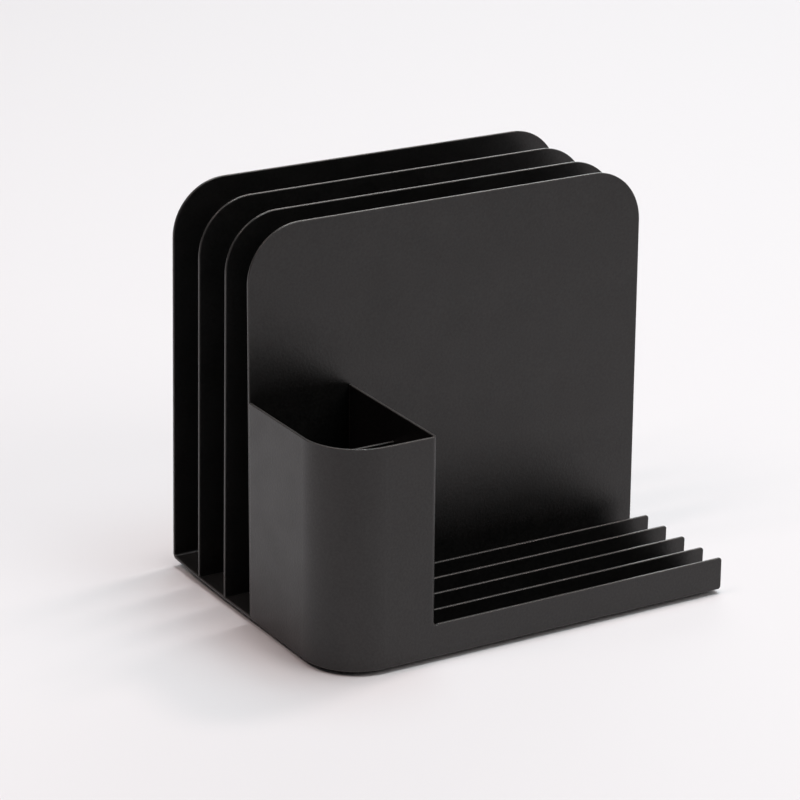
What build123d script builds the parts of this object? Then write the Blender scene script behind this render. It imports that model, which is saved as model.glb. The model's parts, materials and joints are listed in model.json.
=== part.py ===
from build123d import *
import os

# A free-standing desk caddy of painted sheet steel: upright file slots at the back, a pen cup with one
# rolled corner at the front left, and a low tray with fins beside the cup. Millimetres, +Z up. The origin
# is on the desk, under the middle of the caddy, and the tray faces -Y.

# Sheet and overall sizes
WIDTH = 200.0                # over the panels, left to right
SHEET = 1.2                  # every wall is cut from the same sheet
REAR_BEND_INSIDE = 1.3       # inside radius of the bend from the base plate up into the rear panel
CUP_BEND_INSIDE = 1.2        # inside radius of the tight bend at the cup's right front corner
EDGE_ROUND = 0.3             # softened cut edges under the paint

# File slots
SLOT_COUNT = 3
SLOT_PITCH = 23.8            # from one panel's face to the next one's, at the base plate
PANEL_HEIGHT = 175.0         # above the base plate
REAR_RISE = 2.0              # how far the base plate's bow lifts the rear panel above the others
RISE_LENGTH = 30.0           # from the rear face to where the plate's flat and rising lines meet
RISE_BLEND = 750.0           # radius of the gentle bow between those two lines
FRONT_PANEL_LEAN = 5.0       # how far the front panel leans back over its height; the cup leans with it
PANEL_CORNER = 25.0          # both top corners of every panel

# Tray, from the foot of the front panel's face to the lip's outer face
TRAY_DEPTH = 71.0
LIP_HEIGHT = 13.8            # above the base plate
LIP_END_ROUND = 1.5          # both corners of the lip's free end
FIN_COUNT = 4
FIN_HEIGHT = 13.5            # above the base plate
FIN_END_ROUND = 1.5          # top corner of each fin's free end

# Pen cup
CUP_WIDTH = 50.4             # over its two side walls
CUP_HEIGHT = 98.4            # above the base plate
CUP_CORNER = 25.0            # outside radius of the rolled front corner
CUP_DIVIDER_DROP = 13.3      # from the cup's rim down to the top of its cross plate
RELIEF_RADIUS = 1.2          # round notch where the cup's bend meets the lip
RELIEF_OFFSET = 0.3          # from the cup's right side to the notch's centre
RELIEF_DROP = 0.5            # how far the notch dips below the lip's top

# Tabs, which stand in slots of the base plate and are welded from beneath
TAB_LENGTH = 10.0
PANEL_TAB_COUNT = 3
FIN_TAB_COUNT = 2
CUP_TAB_COUNT = 1            # under the cross plate, and under each half of the cup's right side
FIT_GAP = 0.1                # round each tab, and where the cup's wall meets the plate and the cross plate

# Foot pads
FOOT_DIAMETER = 12.0
FOOT_HEIGHT = 2.2
FOOT_ROUND = 0.4             # softened lower rim of each pad
FOOT_SIDE_INSET = 18.0       # from the caddy's sides to a pad's centre
FOOT_END_INSET = 25.0        # from its front and rear to a pad's centre

# Levels and faces that follow from the sizes above
plate_low = FOOT_HEIGHT
plate_top = plate_low + SHEET
panel_top = plate_top + PANEL_HEIGHT
rear_top = panel_top + REAR_RISE
lip_top = plate_top + LIP_HEIGHT
cup_top = plate_top + CUP_HEIGHT
cup_divider_top = cup_top - CUP_DIVIDER_DROP
left = -WIDTH / 2
right = WIDTH / 2
depth = TRAY_DEPTH + SLOT_COUNT * SLOT_PITCH + SHEET
front = -depth / 2
rear = depth / 2
cup_right = left + CUP_WIDTH
lip_inside = front + SHEET
panel_faces = [front + TRAY_DEPTH + SLOT_PITCH * i for i in range(SLOT_COUNT + 1)]
front_panel_face = panel_faces[0]
fin_gap = (front_panel_face - lip_inside - FIN_COUNT * SHEET) / (FIN_COUNT + 1)
fin_faces = [front_panel_face - (fin_gap + SHEET) * (i + 1) for i in range(FIN_COUNT)]
cup_divider_face = (front_panel_face + lip_inside - SHEET) / 2
rise_start = rear - RISE_LENGTH
rear_bend_outside = REAR_BEND_INSIDE + SHEET
cup_bend_outside = CUP_BEND_INSIDE + SHEET
edge_round = min(EDGE_ROUND, 0.3 * SHEET)


def spread(low, high, count):
    """Centres of equal shares of a length."""
    share = (high - low) / count
    return [low + share * (i + 0.5) for i in range(count)]


panel_tab_places = spread(left, right, PANEL_TAB_COUNT)
fin_tab_places = spread(cup_right, right, FIN_TAB_COUNT)
cup_divider_tab_places = spread(left + SHEET, cup_right - SHEET, CUP_TAB_COUNT)
cup_wall_tab_places = spread(cup_divider_face + SHEET, front_panel_face, CUP_TAB_COUNT)
cup_wall_tab_places += spread(lip_inside, cup_divider_face, CUP_TAB_COUNT)


def block(x0, x1, y0, y1, z0, z1):
    """A box between two corners."""
    return Pos((x0 + x1) / 2, (y0 + y1) / 2, (z0 + z1) / 2) * Box(x1 - x0, y1 - y0, z1 - z0)


def side_view(*corners):
    """A face drawn from the side, from its corners (Y, Z)."""
    return make_face(Polyline(*corners, close=True))


def round_corner(face, corner, radius):
    """Rounds the corner of a face that lies at a point."""
    return fillet(face.vertices().sort_by_distance(corner)[0], radius)


def across(face):
    """A bar of a given side view, across the caddy and a little beyond it."""
    return extrude(Plane.YZ * face, WIDTH, both=True)


def space_below(level, bow):
    """All the space under one face of the base plate, from that face's level at the front and its bow."""
    view = side_view((front, 0), (rear, 0), (rear, level + REAR_RISE), (rise_start, level), (front, level))
    return across(round_corner(view, (rise_start, level), bow))


below_plate_top = space_below(plate_top, RISE_BLEND)
below_plate = space_below(plate_low, RISE_BLEND + SHEET)


def tabs_along_x(face, places):
    """The tabs under a sheet that runs across the caddy, as deep as the base plate is thick."""
    half = TAB_LENGTH / 2
    bars = [block(x - half, x + half, face, face + SHEET, plate_low, plate_top + REAR_RISE) for x in places]
    return [bar & below_plate_top - below_plate for bar in bars]


def tabs_along_y(face, places):
    """The tabs under a sheet that runs from front to back, on the flat part of the base plate."""
    half = TAB_LENGTH / 2
    return [block(face, face + SHEET, y - half, y + half, plate_low, plate_top) for y in places]


def slot_for(tab):
    """The hole in the base plate that takes a tab with its fit gap."""
    size = tab.bounding_box().size
    return Pos(tab.center()) * Box(size.X + 2 * FIT_GAP, size.Y + 2 * FIT_GAP, 3 * size.Z)


def soften(sheet, edges):
    """Rounds the given cut edges, without the short ones across the sheet's thickness."""
    return fillet([edge for edge in edges if edge.length > 1.3 * SHEET], edge_round)


def edges_above(sheet, level):
    """The edges of a piece whose middle lies above a level."""
    return [edge for edge in sheet.edges() if edge.center().Z > level + edge_round]


def front_plane(y):
    """A drawing plane across the caddy: X to the right, and the drawing's Y upwards."""
    return Plane(origin=(0, y, 0), x_dir=(1, 0, 0), z_dir=(0, -1, 0))


def panel_outline(low, top):
    """A panel seen from the front, with its two rounded top corners."""
    outline = Pos(0, (low + top) / 2) * Rectangle(WIDTH, top - low)
    return fillet(outline.vertices().group_by(Axis.Y)[-1], PANEL_CORNER)


def panel(face, lean):
    """A panel with the foot of its front face at a given depth, standing on the base plate by its tabs."""
    back = face + SHEET
    foot = [(face, plate_top), (back, plate_top)]
    sheet = across(side_view(*foot, (back + lean, panel_top), (face + lean, panel_top)))
    sheet &= extrude(front_plane(front) * panel_outline(plate_top, panel_top), -depth)
    sheet -= below_plate_top
    return soften(sheet, edges_above(sheet, plate_top + REAR_RISE)) + tabs_along_x(face, panel_tab_places)


def fin(face):
    """A tray fin from the cup's right side to the tray's open end."""
    length = right - cup_right
    outline = Pos(cup_right + length / 2, plate_top + FIN_HEIGHT / 2) * Rectangle(length, FIN_HEIGHT)
    free_corner = outline.vertices().group_by(Axis.Y)[-1].sort_by(Axis.X)[-1]
    sheet = extrude(front_plane(face) * fillet(free_corner, FIN_END_ROUND), -SHEET)
    return soften(sheet, edges_above(sheet, plate_top)) + tabs_along_x(face, fin_tab_places)


def cup_divider():
    """The cross plate that parts the cup, between its two sides."""
    x0 = left + SHEET + FIT_GAP
    x1 = cup_right - SHEET - FIT_GAP
    sheet = block(x0, x1, cup_divider_face, cup_divider_face + SHEET, plate_top, cup_divider_top)
    top_edges = sheet.faces().sort_by(Axis.Z)[-1].edges()
    return soften(sheet, top_edges) + tabs_along_x(cup_divider_face, cup_divider_tab_places)


def front_plan(inset, end, back):
    """The caddy's front part in plan, drawn in from the outer faces of the cup and the lip."""
    x0 = left + inset
    y0 = front + inset
    plan = Pos((x0 + end) / 2, (y0 + back) / 2) * Rectangle(end - x0, back - y0)
    rolled_corner = plan.vertices().group_by(Axis.Y)[0].sort_by(Axis.X)[0]
    return fillet(rolled_corner, CUP_CORNER - inset)


def cup_plan(inset):
    """The cup in plan, drawn in from its outer faces, with some length to spare at the back."""
    plan = front_plan(inset, cup_right - inset, front_panel_face + abs(FRONT_PANEL_LEAN))
    bent_corner = plan.vertices().group_by(Axis.Y)[0].sort_by(Axis.X)[-1]
    return fillet(bent_corner, cup_bend_outside - inset)


def leaning_wall(plan, top):
    """A plan raised from the base plate's underside to a level, leaning back as the front panel does."""
    slant = Vector(0, FRONT_PANEL_LEAN, PANEL_HEIGHT).normalized()
    return Pos(0, 0, plate_low) * extrude(plan, (top - plate_low) / slant.Z, dir=slant)


def lip():
    """The tray's low lip, level with the cup's front, with a round notch where it meets the cup's bend."""
    bend_start = cup_right - cup_bend_outside
    notch_x = cup_right + RELIEF_OFFSET
    notch_z = lip_top - RELIEF_DROP + RELIEF_RADIUS
    plan = Pos((bend_start + right) / 2, (front + lip_inside) / 2) * Rectangle(right - bend_start, SHEET)
    strip = leaning_wall(plan, notch_z)
    strip -= block(notch_x, right, front, lip_inside + SHEET, lip_top, notch_z)
    strip -= Pos(notch_x, front, notch_z) * Rot(90, 0, 0) * Cylinder(RELIEF_RADIUS, 4 * SHEET)
    return fillet(strip.faces().sort_by(Axis.X)[-1].edges().filter_by(Axis.Y), LIP_END_ROUND)


def behind_front_panel():
    """All the space from the front panel's face backwards."""
    view = side_view(
        (front_panel_face, 0),
        (front_panel_face, plate_top),
        (front_panel_face + FRONT_PANEL_LEAN, panel_top),
        (rear, panel_top),
        (rear, 0),
    )
    return across(view)


def cup_wall_and_lip():
    """One wall: the cup's left side, rolled corner, front, tight bend and right side, and the tray's lip."""
    cup = leaning_wall(cup_plan(0), cup_top) - leaning_wall(cup_plan(SHEET), cup_top)
    bend_start = cup_right - cup_bend_outside
    over_plate = block(bend_start, cup_right, lip_inside, front_panel_face, plate_low, plate_top)
    wall = cup - over_plate - behind_front_panel() + lip()
    level_faces = wall.faces().filter_by(Axis.Z).sort_by(Axis.Z)
    lip_faces = level_faces.filter_by_position(Axis.Z, lip_top - edge_round, lip_top + edge_round)
    softened_faces = [level_faces[0], level_faces[-1]] + lip_faces
    wall = soften(wall, [edge for face in softened_faces for edge in face.edges()])
    return wall + tabs_along_y(cup_right - SHEET, cup_wall_tab_places)


def all_tabs():
    """Every tab that stands in the base plate."""
    tabs = tabs_along_y(cup_right - SHEET, cup_wall_tab_places)
    tabs += tabs_along_x(cup_divider_face, cup_divider_tab_places)
    for face in panel_faces[:-1]:
        tabs += tabs_along_x(face, panel_tab_places)
    for face in fin_faces:
        tabs += tabs_along_x(face, fin_tab_places)
    return tabs


def bent_profile():
    """The base plate and the rear panel seen from the side: flat, a gentle bow, the bend, upright."""
    plate_front = lip_inside + FIT_GAP
    inner_face = rear - SHEET
    bend_low = plate_low + REAR_RISE
    bend_top = plate_top + REAR_RISE * (inner_face - rise_start) / RISE_LENGTH
    profile = side_view(
        (plate_front, plate_low),
        (rise_start, plate_low),
        (rear, bend_low),
        (rear, rear_top),
        (inner_face, rear_top),
        (inner_face, bend_top),
        (rise_start, plate_top),
        (plate_front, plate_top),
    )
    profile = round_corner(profile, (rear, bend_low), rear_bend_outside)
    profile = round_corner(profile, (inner_face, bend_top), REAR_BEND_INSIDE)
    profile = round_corner(profile, (rise_start, plate_low), RISE_BLEND + SHEET)
    return round_corner(profile, (rise_start, plate_top), RISE_BLEND)


def base_and_rear_panel():
    """The base plate, bent up at the back into the rear panel, with a slot for every tab."""
    sheet = extrude(Plane.YZ * bent_profile(), WIDTH / 2, both=True)
    sheet &= extrude(front_plane(front) * panel_outline(plate_low, rear_top), -depth)
    rear_plan = Pos(0, (front_panel_face + rear) / 2) * Rectangle(WIDTH, rear - front_panel_face)
    sheet &= extrude(front_plan(SHEET + FIT_GAP, right, front_panel_face) + rear_plan, rear_top)
    side_edges = [edge for edge in sheet.edges() if abs(edge.center().X) > right - edge_round]
    sheet = soften(sheet, side_edges + edges_above(sheet, rear_top - PANEL_CORNER))
    return sheet - [slot_for(tab) for tab in all_tabs()]


def foot_pad(x, y):
    """A low rubber pad stuck under the base plate, whose bow its top follows."""
    height = FOOT_HEIGHT + REAR_RISE
    pad = Pos(x, y, height / 2) * Cylinder(FOOT_DIAMETER / 2, height) & below_plate
    return fillet(pad.edges().sort_by(Axis.Z)[0], FOOT_ROUND)


pieces = {
    "base_and_rear_panel": base_and_rear_panel(),
    "front_panel": panel(front_panel_face, FRONT_PANEL_LEAN),
    "cup_wall_and_lip": cup_wall_and_lip(),
    "cup_divider": cup_divider(),
}
for number, face in enumerate(panel_faces[1:-1], 1):
    pieces[f"file_divider_{number}"] = panel(face, 0)
for number, face in enumerate(fin_faces, 1):
    pieces[f"tray_fin_{number}"] = fin(face)
for end, y in (("front", front + FOOT_END_INSET), ("rear", rear - FOOT_END_INSET)):
    for side, x in (("left", left + FOOT_SIDE_INSET), ("right", right - FOOT_SIDE_INSET)):
        pieces[f"foot_pad_{end}_{side}"] = foot_pad(x, y)

os.makedirs("parts", exist_ok=True)
for name, solid in pieces.items():
    export_step(solid, f"parts/{name}.step")
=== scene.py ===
import json
import math

import bpy
from mathutils import Matrix, Vector

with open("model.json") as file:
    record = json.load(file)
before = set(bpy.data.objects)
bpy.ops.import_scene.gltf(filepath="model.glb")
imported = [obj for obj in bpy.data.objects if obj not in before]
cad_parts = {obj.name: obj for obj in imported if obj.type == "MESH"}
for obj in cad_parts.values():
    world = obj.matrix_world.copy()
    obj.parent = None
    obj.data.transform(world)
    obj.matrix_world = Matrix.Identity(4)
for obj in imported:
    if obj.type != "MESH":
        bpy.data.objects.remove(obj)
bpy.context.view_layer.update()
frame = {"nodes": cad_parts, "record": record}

# Metres and degrees, in the caddy's own frame: the tray faces -Y and the floor is at Z = 0.
MM = 0.001

# Camera, at the photograph's place
CAMERA_PLACE = Vector((-0.7533, -1.1789, 0.6152))
CAMERA_AZIMUTH = 31.671      # the view's turn to the right of +Y
CAMERA_TILT = 20.738         # how far it looks below level
CAMERA_ROLL = 1.289          # its right side is raised
CAMERA_LENS = 152.97         # millimetres, on a sensor SENSOR_WIDTH wide
SENSOR_WIDTH = 36.0

# Studio: a pale floor and soft boxes, each aimed at the caddy's middle
FLOOR_SIZE = 8.0
FLOOR_COLOR = (0.80, 0.79, 0.81, 1)
FLOOR_ROUGHNESS = 0.9
ROOM_COLOR = (0.03, 0.03, 0.03, 1)
LIGHT_AIM = Vector((0, 0, 0.06))
LIGHT_DISTANCE = 3.2
WHITE = (1.0, 1.0, 1.0)
IVORY = (1.0, 0.93, 0.89)
WARM = (1.0, 0.81, 0.77)
COOL = (0.77, 0.96, 1.0)

# Most of what a noise texture gives lies between these
NOISE_LOW = 0.3
NOISE_HIGH = 0.7

# Paint: satin black powder coat
PAINT_COLOR = (0.003, 0.003, 0.003, 1)
PAINT_IOR = 1.51
GLOSS_TINT = (1.0, 0.96, 0.95, 1)
GRAIN_SIZE = 1.1 * MM        # fine orange peel
GRAIN_DETAIL = 2.0
GRAIN_HEIGHT = 0.06 * MM
GRAIN_SHARE = 0.053          # how far the grain goes from the paint's colour to the painted edge highlight's colour
CLOUD_SIZE = 14 * MM         # slow changes in how smooth the coat is
CLOUD_DETAIL = 3.0
SMOOTH = 0.33
ROUGH = 0.40

# Edges of the sheet: a painted highlight in the base colour, lightest on edges that face up where light
# from above falls, and a smoother coat there
PAINTED_EDGE_HIGHLIGHT = (0.14, 0.135, 0.132, 1)
EDGE_REACH = 0.8 * MM        # less than the sheet, so that flat faces stay black
EDGE_SAMPLES = 8
EDGE_SHARP = 0.55            # the share of the sheet's inside that is clear within reach, at an edge
EDGE_FLAT = 0.95             # and on a flat face
EDGE_SMOOTHER = -0.14        # the change of roughness
ROUND_RADIUS = 0.6 * MM
ROUND_SAMPLES = 6
SIDE_HIGHLIGHT_SHARE = 0.35             # edges that face up get the most painted highlight, and the others have this share
UPRIGHT = 0.9                # how far up a normal points on a face that gets the painted highlight in full
LEAST_HIGHLIGHT_SHARE = 0.75            # the painted highlight is patchy, from this share to the whole

# Rubber of the pads
RUBBER_COLOR = (0.012, 0.012, 0.012, 1)
RUBBER_GRAIN = 0.35 * MM
RUBBER_DETAIL = 3.0
RUBBER_HEIGHT = RUBBER_GRAIN / 8
RUBBER_SMOOTH = 0.7
RUBBER_ROUGH = 0.9
DUST_COLOR = (0.03, 0.029, 0.028, 1)
DUST_LOW = 0.4               # the grain's height where the dust begins
DUST_HIGH = 0.8


def add_node(tree, kind, **settings):
    """A shader node with some of its properties or input sockets set."""
    node = tree.nodes.new(kind)
    for name, value in settings.items():
        if hasattr(node, name):
            setattr(node, name, value)
        else:
            node.inputs[name.replace("_", " ")].default_value = value
    return node


def new_material(name):
    """A material, its node tree and its Principled shader."""
    material = bpy.data.materials.new(name)
    material.use_nodes = True
    return material, material.node_tree, material.node_tree.nodes["Principled BSDF"]


def add_ramp(tree, fac, low, high):
    """A colour that goes from low to high as fac goes from 0 to 1."""
    ramp = add_node(tree, "ShaderNodeValToRGB")
    ramp.color_ramp.elements[0].color = low
    ramp.color_ramp.elements[1].color = high
    tree.links.new(fac, ramp.inputs["Fac"])
    return ramp.outputs["Color"]


def add_range(tree, value, low, high, to_low, to_high):
    """A value stretched from one range to another, and clamped to it."""
    stretch = add_node(tree, "ShaderNodeMapRange",
                       From_Min=low, From_Max=high, To_Min=to_low, To_Max=to_high)
    tree.links.new(value, stretch.inputs["Value"])
    return stretch.outputs["Result"]


def add_math(tree, operation, *values):
    """A value worked out from others."""
    node = add_node(tree, "ShaderNodeMath", operation=operation)
    for value, socket in zip(values, node.inputs):
        tree.links.new(value, socket)
    return node.outputs["Value"]


def add_noise(tree, size, detail):
    """Noise in the caddy's own frame, with features about one size across."""
    place = add_node(tree, "ShaderNodeTexCoord")
    noise = add_node(tree, "ShaderNodeTexNoise", Scale=1 / size, Detail=detail)
    tree.links.new(place.outputs["Object"], noise.inputs["Vector"])
    return noise.outputs["Fac"]


def add_bump(tree, shader, height, distance):
    """Raises the surface by a height from 0 to 1, times a distance, and returns the bump node."""
    bump = add_node(tree, "ShaderNodeBump", Strength=1.0, Distance=distance)
    tree.links.new(height, bump.inputs["Height"])
    tree.links.new(bump.outputs["Normal"], shader.inputs["Normal"])
    return bump


def find_edges(tree):
    """1 along the sheet's edges, where another face is near below the surface, and 0 on flat faces."""
    inside = add_node(tree, "ShaderNodeAmbientOcclusion", inside=True, only_local=True,
                      samples=EDGE_SAMPLES, Distance=EDGE_REACH)
    return add_range(tree, inside.outputs["AO"], EDGE_SHARP, EDGE_FLAT, 1.0, 0.0)


def find_highlight_by_facing(tree):
    """Share of the painted edge highlight by facing: 1 on faces that look up, where light from above
    falls, and less on upright ones.
    """
    face = add_node(tree, "ShaderNodeNewGeometry")
    axes = add_node(tree, "ShaderNodeSeparateXYZ")
    tree.links.new(face.outputs["Normal"], axes.inputs["Vector"])
    return add_range(tree, axes.outputs["Z"], 0.0, UPRIGHT, SIDE_HIGHLIGHT_SHARE, 1.0)


def powder_coat():
    """Satin black with a fine orange peel, and a painted highlight that lightens its edges, most where
    they face up.
    """
    material, tree, shader = new_material("powder_coat")
    shader.inputs["IOR"].default_value = PAINT_IOR
    shader.inputs["Specular Tint"].default_value = GLOSS_TINT
    edge = find_edges(tree)
    cloud = add_noise(tree, CLOUD_SIZE, CLOUD_DETAIL)
    grain = add_noise(tree, GRAIN_SIZE, GRAIN_DETAIL)

    # Painted highlight: the base colour goes lighter along the edges, most on those that face up, in
    # patches; the grain's specks are the coat's own mottle
    edge_highlight = add_math(tree, "MULTIPLY", edge, find_highlight_by_facing(tree))
    patches = add_range(tree, cloud, NOISE_LOW, NOISE_HIGH, LEAST_HIGHLIGHT_SHARE, 1.0)
    specks = add_range(tree, grain, NOISE_LOW, NOISE_HIGH, 0.0, GRAIN_SHARE)
    edge_highlight_and_grain = add_math(tree, "MULTIPLY_ADD", edge_highlight, patches, specks)
    tree.links.new(add_ramp(tree, edge_highlight_and_grain, PAINT_COLOR, PAINTED_EDGE_HIGHLIGHT), shader.inputs["Base Color"])

    smoother = add_range(tree, edge, 0.0, 1.0, 0.0, EDGE_SMOOTHER)
    coat = add_range(tree, cloud, NOISE_LOW, NOISE_HIGH, SMOOTH, ROUGH)
    tree.links.new(add_math(tree, "ADD", smoother, coat), shader.inputs["Roughness"])

    rounded = add_node(tree, "ShaderNodeBevel", samples=ROUND_SAMPLES, Radius=ROUND_RADIUS)
    bump = add_bump(tree, shader, grain, GRAIN_HEIGHT)
    tree.links.new(rounded.outputs["Normal"], bump.inputs["Normal"])
    return material


def rubber():
    """Matte black rubber with a little dust on its grain."""
    material, tree, shader = new_material("foot_rubber")
    grain = add_noise(tree, RUBBER_GRAIN, RUBBER_DETAIL)
    dust = add_range(tree, grain, DUST_LOW, DUST_HIGH, 0.0, 1.0)
    tree.links.new(add_ramp(tree, dust, RUBBER_COLOR, DUST_COLOR), shader.inputs["Base Color"])
    roughness = add_range(tree, grain, NOISE_LOW, NOISE_HIGH, RUBBER_SMOOTH, RUBBER_ROUGH)
    tree.links.new(roughness, shader.inputs["Roughness"])
    add_bump(tree, shader, grain, RUBBER_HEIGHT)
    return material


def dress_nodes():
    """Gives every CAD node the material of its slot in the record."""
    made = {"powder_coat": powder_coat(), "foot_rubber": rubber()}
    for subpart in frame["record"]["subparts"]:
        node = frame["nodes"][subpart["node"]]
        node.data.materials.clear()
        node.data.materials.append(made[subpart["material_slot"]])


def add_floor():
    """A plain pale floor."""
    bpy.ops.mesh.primitive_plane_add(size=FLOOR_SIZE)
    floor = bpy.context.object
    floor.name = "floor"
    material, _, shader = new_material("floor_paper")
    shader.inputs["Base Color"].default_value = FLOOR_COLOR
    shader.inputs["Roughness"].default_value = FLOOR_ROUGHNESS
    floor.data.materials.append(material)


def dim_room():
    """A faint light from all round, besides the soft boxes."""
    world = bpy.data.worlds.new("room")
    bpy.context.scene.world = world
    world.use_nodes = True
    world.node_tree.nodes["Background"].inputs["Color"].default_value = ROOM_COLOR


def add_light(name, azimuth, elevation, width, height, power, color):
    """A soft box that looks at the caddy; azimuth 0 is on the +X side, and 90 at the back."""
    data = bpy.data.lights.new(name, "AREA")
    data.shape = "RECTANGLE"
    data.size = width
    data.size_y = height
    data.energy = power
    data.color = color
    light = bpy.data.objects.new(name, data)
    light.visible_camera = False
    bpy.context.scene.collection.objects.link(light)
    turn = math.radians(azimuth)
    rise = math.radians(elevation)
    level = math.cos(rise)
    toward = Vector((math.cos(turn) * level, math.sin(turn) * level, math.sin(rise)))
    light.location = LIGHT_AIM + toward * LIGHT_DISTANCE
    light.rotation_euler = toward.to_track_quat("Z", "Y").to_euler()


def add_lights():
    """Most of the light comes from above and from the right, as in the photograph."""
    add_light("overhead", azimuth=0, elevation=90, width=0.6, height=0.6, power=27, color=WARM)
    add_light("high_front_right", azimuth=-45, elevation=75, width=1.6, height=1.6, power=29, color=COOL)
    add_light("high_back_right", azimuth=45, elevation=75, width=1.6, height=1.6, power=28, color=COOL)
    add_light("key", azimuth=12, elevation=57, width=0.44, height=0.44, power=16, color=WARM)
    add_light("high_right", azimuth=8, elevation=78, width=0.44, height=0.44, power=5, color=WHITE)
    add_light("front", azimuth=-60, elevation=35, width=1.6, height=1.6, power=19, color=IVORY)
    add_light("left", azimuth=180, elevation=55, width=1.0, height=1.0, power=23, color=WARM)
    add_light("back_right", azimuth=58, elevation=18, width=2.0, height=1.3, power=16, color=IVORY)
    add_light("low_back_right", azimuth=45, elevation=14, width=1.6, height=1.4, power=9, color=COOL)


def add_camera():
    """The photograph's camera."""
    data = bpy.data.cameras.new("camera")
    data.lens = CAMERA_LENS
    data.sensor_width = SENSOR_WIDTH
    camera = bpy.data.objects.new("camera", data)
    bpy.context.scene.collection.objects.link(camera)
    turn = Matrix.Rotation(math.radians(-CAMERA_AZIMUTH), 4, "Z")
    tilt = Matrix.Rotation(math.radians(90 - CAMERA_TILT), 4, "X")
    roll = Matrix.Rotation(math.radians(CAMERA_ROLL), 4, "Z")
    camera.matrix_world = Matrix.Translation(CAMERA_PLACE) @ turn @ tilt @ roll
    bpy.context.scene.camera = camera


dress_nodes()
add_floor()
dim_room()
add_lights()
add_camera()
bpy.context.scene.view_settings.view_transform = "Standard"
